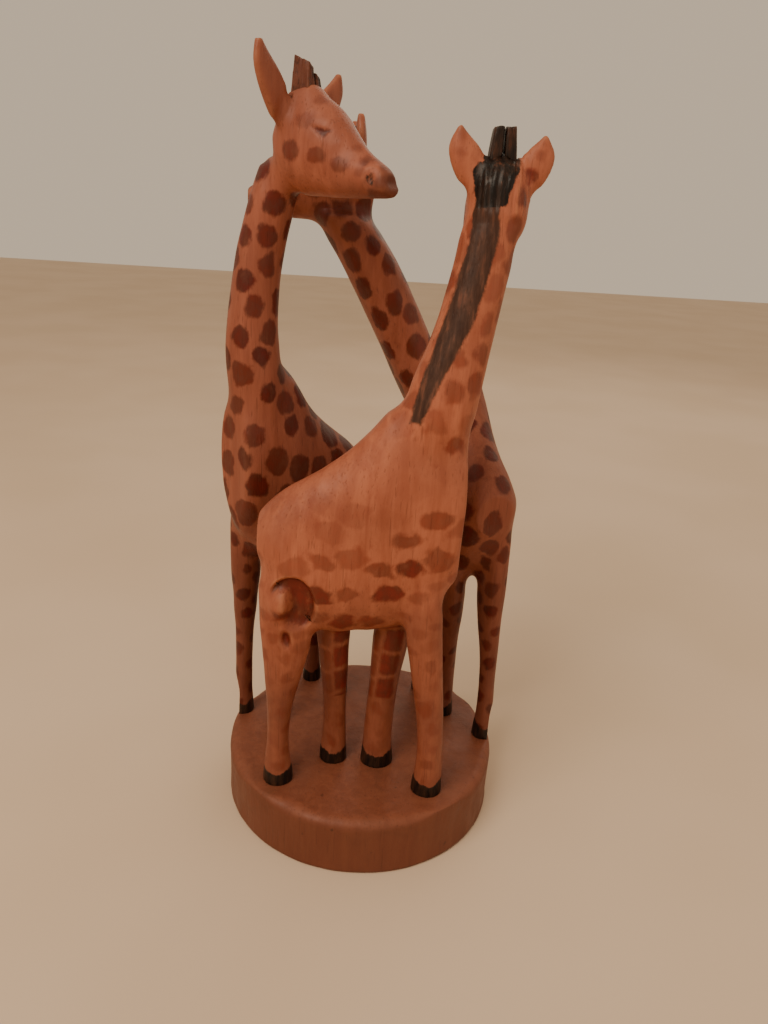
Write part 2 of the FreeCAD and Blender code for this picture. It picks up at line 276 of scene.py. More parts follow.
def carve_body(skin):
    """Slack hollows and ridges that a knife and sandpaper leave."""
    points, normals = skin["points"], skin["normals"]
    tool = 0.30 * ripple(points, (11, 11, 17), skin["seed"])
    tool += 0.16 * ripple(points, (5, 5, 9), skin["seed"] + 1)
    calm = np.where(np.isin(skin["region"], skin["ears"]), 0.4, 1.0)
    points += normals * (tool * calm)[:, None]


def thigh_gouge(points):
    """Shares of the gouge, of the lump left in it and of the splintered cut below it."""
    x, z = points[:, 0] - HOLLOW[0], points[:, 2] - HOLLOW[2]
    open_side = np.maximum(ramp(x, -9.0, -1.0), ramp(z, 1, 8))
    gouge = ramp(1.0 - oval(x, z, *GOUGE), 0, 0.2) * open_side * ramp(z, -13, -6)
    lump = bump(oval(x, z, *LUMP)) * ramp(z, -7.0, -5.0)
    splinter = bump(oval(x + 0.15 * z, z, *SPLINTER))
    near = (points[:, 1] < HOLLOW[1] + THIGH_DEPTH)
    return gouge * near, lump * near, splinter * near


def carve_thigh(skin):
    """The gouged hollow: a clean edge towards the belly, open behind, with a lump left in it."""
    points, normals = skin["points"], skin["normals"]
    x, z = points[:, 0] - HOLLOW[0], points[:, 2] - HOLLOW[2]
    gouge, lump, splinter = thigh_gouge(points)
    outside = (normals[:, 1] < 0.3) & (points[:, 1] < HOLLOW[1] + THIGH_DEPTH)
    behind = bump(oval(x, z, *BEHIND)) * ramp(-x, 0, 5)
    points[:, 1] -= np.where(outside, 2.2 * behind, 0)
    ragged = 1 + 0.7 * ripple(points, (1.5, 5, 8), 71)
    inward = 2.6 * gouge - 3.2 * lump * np.minimum(1, gouge + 0.4) + 1.5 * splinter * ragged
    points[:, 1] += np.where(outside, inward, 0)


def carve_head(skin):
    """Eyes, brows, cheeks and nostrils, the same on both sides, and a blunt chin."""
    points, normals, head = skin["points"], skin["normals"], skin["head"]
    along, side, up = head.local(points)
    along = along * head.length
    own = skin["region"] == skin["names"].index("head")
    for sign in (1, -1):
        flank = own & (side * sign > 1.5)
        push = -0.4 * ramp(eye_field(along, up, head), -0.8, 0.5)
        for share, height, half_length, half_height, rise in HEAD_FORMS.values():
            push += rise * bump(oval(along, up, share * head.length, height, half_length, half_height))
        nostril = oval(along, up, NOSTRIL[0] * head.length, NOSTRIL[1], 1.8, 2.0)
        push += -0.7 * bump(nostril) + 0.25 * np.exp(-((nostril - 1.7) / 0.4) ** 2)
        points += normals * np.where(flank, push, 0)[:, None]
    if skin["name"] == "left":
        crown = ramp(0.42 * head.length - along, 0, 6) * ramp(up, 9, 14) * ramp(9 - np.abs(side), 0, 3)
        points[:, 2] += np.where(own, 2.0 * crown, 0)
    blunt = ramp(along, 0.88 * head.length, head.length) * ramp(-up, 12.5, 15.5)
    points += np.where(own, 1.3 * blunt, 0)[:, None] * head.nose


def eye_field(along, up, head):
    """Millimetres inside the eye, a small three-cornered cut with its long edge on top."""
    a, b = along - EYE[0] * head.length, up - EYE[1]
    lid = 0.7 - b - 0.15 * a
    front_edge = 1.15 + 0.6 * b - 0.6 * a
    back_edge = 1.15 + 0.75 * b + 0.62 * a
    return np.minimum(np.minimum(lid, front_edge), back_edge)


def carve_ears(skin):
    """A scooped front and a rounded tip on each ear."""
    points, normals, head = skin["points"], skin["normals"], skin["head"]
    side = (points - head.origin) @ head.left
    for region in skin["ears"]:
        own = skin["region"] == region
        heights = points[own, 2]
        low, high = heights.min(), heights.max()
        step = 2
        levels = np.arange(low, high + step, step)
        middle, half = [], []
        for level in levels:
            row = side[own][np.abs(heights - level) < step]
            middle.append((row.min() + row.max()) / 2)
            half.append(max(np.ptp(row) / 2, 0.8))
        half_width = np.interp(points[:, 2], levels, half)
        across = (side - np.interp(points[:, 2], levels, middle)) / half_width
        share = np.clip((points[:, 2] - low) / (high - low), 0, 1)
        facing = normals @ head.nose
        scoop = 1.0 * ramp(facing, 0.3, 0.8) * bump(across / 0.85) * np.sin(np.pi * share ** 0.8)
        points -= np.where(own, scoop, 0)[:, None] * head.nose
        tip = np.where(own, np.clip((share - 0.68) / 0.32, 0, 1), 0) ** 2
        points -= ((1 - np.sqrt(1 - 0.8 * tip)) * (half_width * across))[:, None] * head.left
        points[:, 2] += 0.9 * tip * np.clip(1 - across ** 2, 0, 1)


def carve_topknot(skin):
    """Upright grooves in the tuft that runs down the back of the front giraffe's head."""
    points, normals, head = skin["points"], skin["normals"], skin["head"]
    along, side, up = head.local(points)
    tuft = ramp(8.0 - np.abs(side), 0, 1.5) * ramp(up, -7, -3) * ramp(0.36 - along, 0, 0.08)
    groove = np.cos(2 * np.pi * (side / 2.5 + 0.5 * ripple(points, (9, 9, 16), 5)))
    fibre = ripple(points, (1.2, 1.2, 12), 6)
    points += normals * (tuft * (0.20 * groove + 0.25 * fibre + 0.5))[:, None]


# ---------------------------------------------------------------- painted marks

# Dabs on each region: the least distance between them, and their smallest and largest radius.
SPOTS = {
    "torso": {"spacing": 9.6, "radius": (3.9, 5.6)},
    "neck": {"spacing": 8.2, "radius": (3.4, 4.7)},
    "leg": {"spacing": 6.9, "radius": (2.3, 3.4)},
}
PLACES_TRIED = 14000

# Dabs on each side of a head: share along it, mm up, radius and strength.
FACE_DABS = ((0.26, -4.3, 3.3, 0.72), (0.477, -5.7, 2.8, 0.64), (0.649, -8.1, 2.5, 0.60),
             (0.36, 4.8, 2.6, 0.40), (0.42, 11.5, 1.9, 0.45), (0.74, -3.0, 1.3, 0.30),
             (0.83, -6.5, 1.9, 0.40), (0.81, -10.5, 1.7, 0.35), (0.62, 6.5, 1.6, 0.30))

# Dabs on the backs of the front giraffe's ears: mm up, mm to its left, radius and strength.
EAR_DABS = ((7.7, -8.6, 2.4, 0.95), (2.3, -7.0, 2.5, 0.95), (15, -11.6, 1.9, 0.5),
            (19.4, 13.5, 1.9, 0.45), (13.3, 13.1, 2.0, 0.4))

# Patches on the front giraffe's inner legs: where the columns start, in degrees, and the rows' lift.
LADDERS = {"hind_inner": (90, -2), "fore_inner": (128, 0)}
LADDER_COLUMN = 11
LADDER_ROW = 12
LADDER_FOOT = 60
LEG_RADIUS = 7

# The mane's half width at shares of the way up it.
MANE_SHARES = (-0.2, 0, 0.35, 0.7, 1)
MANE_HALF_WIDTHS = (0.8, 3.2, 4.4, 5.6, 5.2)

# How far the black tuft reaches to the left and right of the head's middle, at heights up the head.
TUFT_HEIGHTS = (0, 2.2, 6.4, 9.8, 11.5, 14.5, 18)
TUFT_LEFT = (7.7, 8.4, 9.1, 9.1, 7.2, 5.7, 4.5)
TUFT_RIGHT = (2.2, 2.7, 4.2, 5.7, 5.7, 5.0, 4.0)


def limited(field):
    return np.clip(field, -MARK_LIMIT, MARK_LIMIT)


def kind_of(name):
    return next((kind for kind in SPOTS if kind in name), None)


def ear_spots(skin):
    """Place, radius and strength of each dab on the backs of the ears."""
    head = skin["head"]
    _, side, up = head.local(skin["points"])
    back = skin["normals"] @ head.nose < -0.3
    on_ear = np.isin(skin["region"], skin["ears"]) | (skin["region"] == skin["names"].index("head"))
    found = []
    for height, across, radius, tone in EAR_DABS:
        miss = np.abs(up - height) + np.abs(side - across) + np.where(on_ear & back, 0, 99)
        found.append((skin["points"][miss.argmin()], radius, tone))
    return found


def paint_face(skin, field, tone):
    """Round dabs along each cheek, on the brow and the muzzle, and the dark notch of the eye."""
    head, points = skin["head"], skin["points"]
    along, side, up = head.local(points)
    own = (skin["region"] == skin["names"].index("head")) & (np.abs(side) > 1.5)
    shift = 0.45 * ripple(points, 3.5, skin["seed"] + 81)
    for share, height, radius, strength in FACE_DABS:
        stretched = (along - share) * head.length / 1.3
        inside = radius - np.hypot(stretched + shift, up - height - shift)
        better = own & (inside > field)
        tone = np.where(better, strength, tone)
        field = np.where(better, inside, field)
    eye = eye_field(along * head.length, up, head) + 0.25
    better = own & (eye > field)
    return np.where(better, eye, field), np.where(better, 1.0, tone)


def scatter_spots(skin):
    """Dabs in seeded places, none closer than its region's spacing: place, radius, strength."""
    chance = np.random.default_rng(skin["seed"])
    dabs = ear_spots(skin) if skin["name"] == "front" else []
    kinds = [kind_of(name) for name in skin["names"]]
    for number in chance.permutation(len(skin["points"]))[:PLACES_TRIED]:
        kind = kinds[skin["region"][number]]
        point = skin["points"][number]
        if kind is None:
            continue
        if dabs:
            places = np.array([dab[0] for dab in dabs])
            gap = np.linalg.norm((places - point) * (1, 1, 0.86), axis=1)
            if gap.min() < SPOTS[kind]["spacing"]:
                continue
        radius = chance.uniform(*SPOTS[kind]["radius"])
        dabs.append((point, radius, spot_tone(skin, point, kind, chance.uniform())))
    return dabs


def spot_tone(skin, point, kind, luck):
    """How strong a dab is: the front giraffe's back and neck have nearly faded."""
    if skin["name"] != "front":
        return 0.78 + 0.22 * luck
    if kind == "leg":
        return 0.2 + 0.3 * luck
    if kind == "neck":
        return 0.35 + 0.4 * luck
    back = np.interp(point[0], (-40, 0, 25), (130, 143, 160))
    return 0.02 + 0.36 * luck ** 2 if point[2] > back else 0.35 + 0.65 * luck


def paint_spots(skin):
    """Millimetres inside the nearest dab's edge, and that dab's strength."""
    points = skin["points"]
    wobble = np.stack([ripple(points, 4.6, skin["seed"] + 20 + axis) for axis in range(3)], 1)
    wobble += 0.3 * np.stack([ripple(points, 2.0, skin["seed"] + 30 + axis) for axis in range(3)], 1)
    wide = (skin["name"] == "front") & (points[:, 2] > 90) & (points[:, 2] < 175)
    stretch = np.where(wide[:, None], (0.76, 0.9, 1.15), (1, 1, 0.88))
    wobble *= 1.9 if skin["name"] == "front" else 1.15
    first = np.full(len(points), -99.0)
    second = np.full(len(points), -99.0)
    tone = np.zeros(len(points))
    for place, radius, strength in scatter_spots(skin):
        inside = radius - np.linalg.norm((points + wobble - place) * stretch, axis=1)
        better = inside > first
        second = np.where(better, first, np.maximum(second, inside))
        tone = np.where(better, strength, tone)
        first = np.where(better, inside, first)
    field = np.minimum(first, (first - second) / 2 - 0.45)
    return limited(field), smoothed(tone, skin["edges"], np.ones(len(tone)), 3)


def paint_ladders(skin, field, tone):
    """Stacked rows of squarish patches down the upper half of the front giraffe's inner legs."""
    points = skin["points"]
    for leg, (seam, lift) in LADDERS.items():
        _, turn = skin["axes"][leg].round(points)
        around = np.radians((turn + seam) % 360) * LEG_RADIUS + 0.5 * ripple(points, 4, 41)
        column = np.floor(around / LADDER_COLUMN)
        height = points[:, 2] + lift + 4.5 * column + 0.8 * ripple(points, 4, 42)
        off_column = np.abs(around % LADDER_COLUMN - LADDER_COLUMN / 2)
        off_row = np.abs(height % LADDER_ROW - LADDER_ROW / 2)
        patch = np.minimum(4.8 - off_column, 5.3 - off_row)
        patch = np.minimum(patch, 6.4 - np.hypot(off_column, off_row))
        own = (skin["region"] == skin["names"].index(f"{leg}_leg")) & (points[:, 2] > LADDER_FOOT)
        field = np.where(own, patch, field)
        tone = np.where(own, 0.55 + 0.4 * (column % 2 == 0), tone)
    return field, tone


def paint_gouge(skin, field, tone):
    """Dark red paint in the gouge and the splintered cut, deepened as painted shade in the crevice, and
    a painted shadow under its lump.
    """
    points = skin["points"]
    gouge, lump, splinter = thigh_gouge(points)
    x, z = points[:, 0] - HOLLOW[0], points[:, 2] - HOLLOW[2]
    # A painted shadow under the lump.
    under = 1.6 - np.maximum(np.abs(x + 4.5) / 2.6, np.abs(z + 4.5) / 1.5)
    rag = 0.5 * ripple(points, (1.5, 5, 3), 73)
    inside = np.maximum(2.2 * gouge * (1 - 0.75 * lump) - 1.1 + rag, 1.9 * splinter - 0.9 + rag)
    inside = np.maximum(inside, np.where(points[:, 1] < HOLLOW[1] + THIGH_DEPTH, under, -MARK_LIMIT))
    better = inside > field
    return np.where(better, inside, field), np.where(better, 0.95, tone)


def paint_mane(skin):
    """Millimetres inside the grey-brown stripe down the back of the neck."""
    points, head, names = skin["points"], skin["head"], skin["names"]
    hairy = ("neck", "head") if skin["name"] == "right" else ("neck", "torso", "head")
    body = np.isin(skin["region"], [names.index(name) for name in hairy])
    distance, turn = skin["axes"]["neck"].round(points)
    foot, top = MANE[skin["name"]]
    low, high = MANE_HEIGHTS
    share = np.clip((points[:, 2] - low) / (high - low), -0.2, 1)
    facing = foot + (top - foot) * share
    around = np.radians((turn - facing + 180) % 360 - 180) * distance
    half = np.interp(share, MANE_SHARES, MANE_HALF_WIDTHS)
    ends = np.minimum(points[:, 2] - low + 6, head.origin[2] + 2 - points[:, 2])
    mane = np.minimum(half - np.abs(around + 0.7 * ripple(points, (5, 5, 9), 51)), ends)
    return limited(np.where(body, mane, -MARK_LIMIT))


def paint_black(skin):
    """Millimetres inside black paint: hooves, nostrils and the front giraffe's tuft."""
    points, head, names = skin["points"], skin["head"], skin["names"]
    black = np.full(len(points), -MARK_LIMIT)
    for leg in LEGS:
        own = np.isin(skin["region"], [names.index(f"{leg}_leg"), names.index(f"{leg}_hoof")])
        hoof_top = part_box(f"{skin['name']}_{leg}_hoof")[1].z / MM
        _, turn = skin["axes"][leg].round(points)
        edge = hoof_top + 1.1 * np.cos(np.radians(2 * turn)) + 0.8 * ripple(points, 3, 61) + 1.4
        black = np.where(own, np.maximum(black, edge - points[:, 2]), black)
    along, side, up = head.local(points)
    along = along * head.length
    own = skin["region"] == names.index("head")
    nostril = 1.2 * (1 - oval(along, up, NOSTRIL[0] * head.length, NOSTRIL[1], 1.5, 1.7))
    black = np.where(own, np.maximum(black, np.minimum(nostril, 0.0)), black)
    if skin["name"] == "front":
        own = own | np.isin(skin["region"], skin["ears"])
        left = np.interp(up, TUFT_HEIGHTS, TUFT_LEFT)
        right = np.interp(up, TUFT_HEIGHTS, TUFT_RIGHT)
        rag = 1.1 * ripple(points * (1, 1, 0.4), 1.3, 63)
        tuft = np.minimum(np.minimum(left - side, side + right) + 0.6 * rag, 0.34 * head.length - along)
        tuft = np.minimum(tuft, up + 2.0 + 0.9 * rag)
        black = np.where(own, np.maximum(black, tuft), black)
    return limited(black)


def paint_smear_and_shade(skin):
    """0 to 1 of darkening: soft brown smear on the muzzle, patchy dirt, painted shade that deepens down
    the legs, and painted shade on the two giraffes behind below their heads.
    """
    points, head = skin["points"], skin["head"]
    along, _, up = head.local(points)
    own = skin["region"] == skin["names"].index("head")
    blotch = 0.16 * ripple(points, 3, skin["seed"] + 71)
    muzzle = ramp(along + blotch, 0.82, 1.0) + 0.5 * ramp(along, 0.5, 0.8) * ramp(-up, 10, 16)
    smoke = np.where(own, 0.95 * muzzle, 0)
    # Patchy dirt, and painted shade that grows darker towards the bottom, where less light falls.
    grime_and_shade = 0.12 + 0.2 * ripple(points, 21, skin["seed"] + 72) + 0.55 * ramp(140 - points[:, 2], 0, 75)
    # Painted shade over the two giraffes behind, below their heads.
    if skin["name"] != "front":
        grime_and_shade = grime_and_shade + 0.15 * ramp(250 - points[:, 2], 0, 40)
    return np.clip(np.maximum(smoke, grime_and_shade), 0, 1)


# ---------------------------------------------------------------- skins and pieces

def make_skin(giraffe, seed):
    """The carved skin of one giraffe with its regions and painted marks."""
    names = list(SKIN_REGIONS)
    points, triangles, owners = cad_surface([f"{giraffe}_{name}" for name in names])
    if giraffe in NAPE_FILL:
        fill = nape_fill(Head(giraffe), *NAPE_FILL[giraffe])
        triangles = np.vstack([triangles, fill[1] + len(points)])
        points = np.vstack([points, fill[0]])
        owners = np.append(owners, np.full(len(fill[1]), names.index("neck")))
    tree = BVHTree.FromPolygons(points.tolist(), triangles.tolist())
    points, quads = remeshed(points, triangles, VOXEL)
    region = np.array([owners[tree.find_nearest(point)[2]] for point in points.tolist()])
    edges = edges_of(quads)
    skin = {"name": giraffe, "names": names, "seed": seed, "points": points, "quads": quads,
            "edges": edges, "region": region, "head": Head(giraffe),
            "ears": [names.index("left_ear"), names.index("right_ear")],
            "axes": {leg: Axis(f"{giraffe}_{leg}_leg") for leg in LEGS}}
    skin["axes"]["neck"] = Axis(f"{giraffe}_neck")
    soften_joins(skin)
    trim_to_log(skin)
    refresh(skin)
    carve_body(skin)
    refresh(skin)
    if giraffe == "front":
        carve_thigh(skin)
        carve_topknot(skin)
        refresh(skin)
    carve_head(skin)
    refresh(skin)
    carve_ears(skin)
    refresh(skin)
    lowest, highest = np.array(cad_low) / MM, np.array(cad_high) / MM
    skin["points"] = np.clip(skin["points"], lowest + CLEAR, highest - CLEAR)
    field, tone = paint_spots(skin)
    field, tone = paint_face(skin, field, tone)
    if giraffe == "front":
        field, tone = paint_ladders(skin, field, tone)
        field, tone = paint_gouge(skin, field, tone)
    skin["marks"] = {"spot": field, "spot_tone": tone, "black": paint_black(skin),
                     "mane": paint_mane(skin), "smoke": paint_smear_and_shade(skin), "crease": creases(skin)}
    return skin


def nape_fill(head, place, half):
    """Points and triangles of an egg of wood, in a head's axes."""
    around, rings = 24, 12
    turn = np.linspace(0, 2 * np.pi, around, endpoint=False)
    slopes = np.linspace(0.1, np.pi - 0.1, rings)
    ball = [(math.sin(slope) * math.cos(t), math.sin(slope) * math.sin(t), math.cos(slope))
            for slope in slopes for t in turn]
    egg = np.array(ball + [(0, 0, 1), (0, 0, -1)]) * half + place
    egg = head.origin + egg[:, :1] * head.nose + egg[:, 1:2] * head.left + egg[:, 2:] * (0, 0, 1)
    last_ring = around * (rings - 1)
    top, bottom = around * rings, around * rings + 1
    faces = []
    for ring in range(0, last_ring, around):
        for step in range(around):
            a, b = ring + step, ring + (step + 1) % around
            faces += [(a, a + around, b), (b, a + around, b + around)]
    for step in range(around):
        after = (step + 1) % around
        faces += [(top, step, after), (bottom, last_ring + after, last_ring + step)]
    return egg, np.array(faces)


def refresh(skin):
    skin["normals"] = normals_of(skin["points"], skin["quads"])


def soften_joins(skin):
    """Blends neck, legs, head and ears into their neighbours as a carver would.

    Each kind of seam has its reach in rings of points and its rounds of smoothing.
    """
    edges, region = skin["edges"], skin["region"]
    everywhere = np.ones(len(region))
    hoof = np.array(["hoof" in name for name in skin["names"]])
    ear = np.array(["ear" in name for name in skin["names"]])
    crossing = edges[region[edges[:, 0]] != region[edges[:, 1]]]
    at_hoof = hoof[region[crossing]].any(1)
    at_ear = ear[region[crossing]].any(1)
    points = skin["points"]
    seams = ((~(at_hoof | at_ear), 18, 190), (at_ear, 9, 70), (at_hoof, 3, 6))
    for seam, reach, rounds in seams:
        near = np.zeros(len(points))
        near[crossing[seam].ravel()] = 1
        for _ in range(reach):
            near = np.maximum(near, 0.93 * spread(near, edges))
        near = smoothed(ramp(near, 0.25, 0.75), edges, everywhere, 6)
        points = smoothed_nearby(points, edges, near, rounds)
    skin["points"] = smoothed(points, edges, everywhere, 2)


def smoothed_nearby(points, edges, weight, rounds):
    """Smooths only the points that carry weight; the others are left out of the sums."""
    active = weight > 0.002
    touched = edges[active[edges].any(1)]
    used, flat = np.unique(touched, return_inverse=True)
    result = points.copy()
    share = np.where(active, weight, 0)[used]
    result[used] = smoothed(points[used], flat.reshape(-1, 2), share, rounds)
    return result


def trim_to_log(skin):
    """Hooves at the rim are cut flush with the log and stand on its top, not down its side."""
    points = skin["points"]
    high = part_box("base")[1]
    radius, top = high.x / MM, high.z / MM
    free = top + 45
    allowed = radius - 1.6 + 8 * ramp(points[:, 2], top + 10, free)
    far = np.hypot(points[:, 0], points[:, 1])
    points[:, :2] *= np.where(points[:, 2] < free, np.minimum(1, allowed / far), 1)[:, None]
    points[:, 2] = np.maximum(points[:, 2], top - 1.0)


def spread(values, edges):
    """The largest value among each point and its neighbours."""
    grown = values.copy()
    np.maximum.at(grown, edges[:, 0], values[edges[:, 1]])
    np.maximum.at(grown, edges[:, 1], values[edges[:, 0]])
    return grown


def creases(skin):
    """-1 on ridges to 1 in hollows, for painted shade in the hollows and lighter ridges."""
    ones = np.ones(len(skin["points"]))
    moved = smoothed(skin["points"], skin["edges"], ones, 12) - skin["points"]
    depth = np.einsum("ij,ij->i", moved, skin["normals"])
    return np.clip(smoothed(depth - np.median(depth), skin["edges"], ones, 2) / 0.35, -1, 1)


def tidy_regions(skin):
    """Labels faces by region, without islands: a stray patch joins the region round it."""
    quads, region = skin["quads"], skin["region"]
    count = len(skin["names"])
    votes = np.zeros((len(skin["points"]), count))
    votes[np.arange(len(region)), region] = 1
    for _ in range(4):
        votes = votes + 0.9 * neighbour_mean(votes, skin["edges"])
    labels = votes[quads].sum(1).argmax(1)
    pairs = face_pairs(quads)
    for _ in range(3):
        island = islands(labels, pairs)
        sizes = np.bincount(island, minlength=len(labels))
        largest = {}
        for face in np.unique(island):
            kind = labels[face]
            if sizes[face] > sizes[largest.get(kind, face)] or kind not in largest:
                largest[kind] = face
        keep = np.isin(island, list(largest.values()))
        if keep.all():
            break
        for first, second in np.vstack([pairs, pairs[:, ::-1]]):
            if keep[first] and not keep[second]:
                labels[second] = labels[first]
                keep[second] = True
    return labels


def sides_of(quads):
    """Every side as a directed pair of points, and a key that both its faces share."""
    sides = np.vstack([np.stack([quads[:, i], quads[:, (i + 1) % 4]], 1) for i in range(4)])
    return sides, np.sort(sides, 1) @ np.array([1 << 32, 1])


def face_pairs(quads):
    """Pairs of faces that share an edge."""
    key = sides_of(quads)[1]
    owner = np.tile(np.arange(len(quads)), 4)
    order = key.argsort(kind="stable")
    same = key[order][1:] == key[order][:-1]
    return np.stack([owner[order][:-1][same], owner[order][1:][same]], 1)


def islands(labels, pairs):
    """A number for each connected patch of equal labels: its lowest face."""
    joined = pairs[labels[pairs[:, 0]] == labels[pairs[:, 1]]]
    group = np.arange(len(labels))
    while True:
        lowest = np.minimum(group[joined[:, 0]], group[joined[:, 1]])
        grown = group.copy()
        np.minimum.at(grown, joined[:, 0], lowest)
        np.minimum.at(grown, joined[:, 1], lowest)
        grown = grown[grown]
        if (grown == group).all():
            return group
        group = grown


def rim_loops(faces):
    """Loops of border edges, each as directed pairs grouped by connection."""
    sides, key = sides_of(faces)
    _, first, counts = np.unique(key, return_index=True, return_counts=True)
    border = sides[first[counts == 1]]
    follow = {}
    for start, end in border.tolist():
        follow.setdefault(start, []).append(end)
    loops = []
    while follow:
        start = next(iter(follow))
        loop, point = [], start
        while point in follow:
            loop.append(point)
            ends = follow[point]
            following = ends.pop()
            if not ends:
                del follow[point]
            point = following
        loops.append(loop)
    return loops


def split_skin(skin):
    """One closed piece for each region, with the whole skin's normals, so that no seam shows."""
    labels = tidy_regions(skin)
    made = {}
    for number, name in enumerate(skin["names"]):
        faces = skin["quads"][labels == number]
        used, flat = np.unique(faces, return_inverse=True)
        faces = flat.reshape(faces.shape)
        points = skin["points"][used]
        normals = skin["normals"][used]
        marks = {mark: values[used] for mark, values in skin["marks"].items()}
        polygons = faces.tolist()
        for loop in rim_loops(faces):
            centre = len(points)
            inward = points[loop].mean(0)
            points = np.vstack([points, inward])
            normals = np.vstack([normals, (0, 0, 1)])
            marks = {mark: np.append(values, 0) for mark, values in marks.items()}
            polygons += [[end, start, centre] for start, end in zip(loop, loop[1:] + loop[:1])]
        node = f"{skin['name']}_{name}"
        made[node] = make_piece(f"{node}_carved", points, polygons, normals, marks)
    return made


def make_piece(name, points, polygons, normals=None, marks=None):
    mesh = bpy.data.meshes.new(name)
    mesh.from_pydata((points * MM).tolist(), [], polygons)
    mesh.shade_smooth()
    for mark, values in (marks or {}).items():
        attribute = mesh.attributes.new(mark, "FLOAT", "POINT")
        attribute.data.foreach_set("value", values.astype(np.float32))
    if normals is not None:
        mesh.normals_split_custom_set_from_vertices(normals.tolist())
    piece = bpy.data.objects.new(name, mesh)
    bpy.context.scene.collection.objects.link(piece)
    return piece


def make_horn(giraffe, side, seed):
    """A square post with split, fibrous grain and a ragged top."""
    node = f"{giraffe}_{side}_horn"
    points, triangles, _ = cad_surface([node])
    points, quads = remeshed(points, triangles, HORN_VOXEL)
    edges = edges_of(quads)
    points = smoothed(points, edges, np.ones(len(points)), 3)
    normals = normals_of(points, quads)
    head = Head(giraffe)
    along, across, _ = head.local(points)
    low, high = points[:, 2].min(), points[:, 2].max()
    share = (points[:, 2] - low) / (high - low)
    lean = SIDES[side] * (math.tan(math.radians(HORN_TAPER)) * (points[:, 2] - low) + 0.35)
    points = points - lean[:, None] * head.left
    fibres = ripple(points, (1.1, 1.1, 11), seed) + 0.5 * ripple(points, (0.7, 0.7, 6), seed + 1)
    points += normals * (0.30 * np.minimum(fibres, 0.1) * ramp(share, 0, 0.2))[:, None]
    ragged = 0.55 + 0.45 * ripple(points * (1, 1, 0), 1.3, seed + 2)
    drop = {"front": 0.10, "left": 0.04, "right": 0.08}[giraffe]
    if giraffe == "left":
        points[:, 2] += share * (2.2 - 0.55 * (across + 5.5) - 0.35 * (along * head.length - 7))
    points[:, 2] -= (high - low) * share ** 3 * drop * ragged
    unpainted = np.full(len(points), -MARK_LIMIT)
    worn = giraffe == "left"
    # The grooves between the horn's fibres take painted shade through the crease mark.
    marks = {"spot": unpainted, "spot_tone": np.zeros(len(points)), "mane": unpainted,
             "black": 0.05 + 0.06 * across if worn else np.full(len(points), MARK_LIMIT),
             "smoke": np.full(len(points), 0.9), "crease": np.clip(-fibres, -1, 1)}
    return make_piece(f"{node}_carved", points, quads.tolist(), normals_of(points, quads), marks)


def make_base():
    """The plain end of the log: its rim and top are a little uneven from the knife."""
    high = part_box("base")[1]
    radius, height = high.x / MM, high.z / MM
    around = 240
    turn = np.linspace(0, 2 * np.pi, around, endpoint=False)
    level_ring = np.zeros(around)
    circle = np.stack([np.cos(turn), np.sin(turn), level_ring], 1)
    wander = ripple(circle * 60, 24, 3)
    fine = ripple(circle * 60, 7, 4)
    edge = radius - 0.45 - 0.35 * wander - 0.12 * fine
    soft = 5.2 + 1.3 * wander
    for giraffe, leg in itertools.product(GIRAFFES, LEGS):
        near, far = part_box(f"{giraffe}_{leg}_hoof")
        x, y = (near.x + far.x) / 2 / MM, (near.y + far.y) / 2 / MM
        if math.hypot(x, y) > RIM_HOOF:
            apart = np.degrees(np.abs(np.angle(np.exp(1j * (turn - math.atan2(y, x))))))
            soft -= 3.6 * bump(apart / 16)
    rings = [(edge - 1.5, 0), (edge - 0.5, 0.25), (edge - 0.1, 1.1)]
    for level in np.linspace(2.2, height - 5.5, 16):
        rings.append((edge - 0.1, level))
    for angle in np.linspace(0.12, np.pi / 2, 10):
        rings.append((edge - soft * (1 - math.cos(angle)), height - soft * 0.8 * (1 - math.sin(angle))))
    inner = edge - soft
    for share in np.linspace(0.98, 0.02, 56):
        rings.append((inner * share, height))
    points = np.vstack([np.stack([reach * np.cos(turn), reach * np.sin(turn), level_ring + level], 1)
                        for reach, level in rings])
    top = len(points)
    points = np.vstack([points, (0, 0, height), (0, 0, 0)])
    radial = np.hypot(points[:, 0], points[:, 1])
    level = ramp(points[:, 2], height - 3, height)
    flat = points * (1, 1, 0)
    points[:, 2] += level * (0.22 + 0.2 * ripple(flat, 16, 6) + 0.07 * ripple(flat, 6, 7))
    wall = ramp(points[:, 2], 1, 3) * ramp(height - 2 - points[:, 2], 0, 2)
    dents = 0.16 * np.clip(ripple(points, (13, 13, 9), 8), -1, 0.6) + 0.08 * ripple(points, (4, 4, 6), 9)
    points[:, :2] *= (1 - (wall * (0.14 - dents)) / np.maximum(radial, 1))[:, None]
    polygons = []
    for ring in range(len(rings) - 1):
        for step in range(around):
            after = (step + 1) % around
            polygons.append([ring * around + step, ring * around + after,
                             (ring + 1) * around + after, (ring + 1) * around + step])
    last = (len(rings) - 1) * around
    for step in range(around):
        after = (step + 1) % around
        polygons.append([last + step, last + after, top])
        polygons.append([after, step, top + 1])
    return make_piece("base_carved", points, polygons)


# ---------------------------------------------------------------- materials

# Each wood's light streaks, dark streaks and clouds of stain.
PALE_WOOD = ((0.47, 0.150, 0.080), (0.35, 0.098, 0.051), (0.39, 0.13, 0.075))
# The two giraffes behind take this darker wood, painted shade for standing behind the front one.
SHADED_RED_WOOD = ((0.37, 0.115, 0.066), (0.27, 0.075, 0.042), (0.31, 0.10, 0.06))
HOOF_WOOD = ((0.36, 0.130, 0.066), (0.24, 0.078, 0.038), (0.27, 0.11, 0.065))
HORN_WOOD = ((0.30, 0.115, 0.058), (0.18, 0.062, 0.032), (0.22, 0.09, 0.05))
BASE_WOOD = ((0.23, 0.072, 0.038), (0.18, 0.053, 0.028), (0.20, 0.066, 0.037))

# The dabs' paint where it is thick and where it is thin.
RED_DABS = ((0.038, 0.0035, 0.0018), (0.110, 0.0105, 0.0045))
FADED_DABS = ((0.070, 0.0060, 0.0030), (0.170, 0.0180, 0.0090))


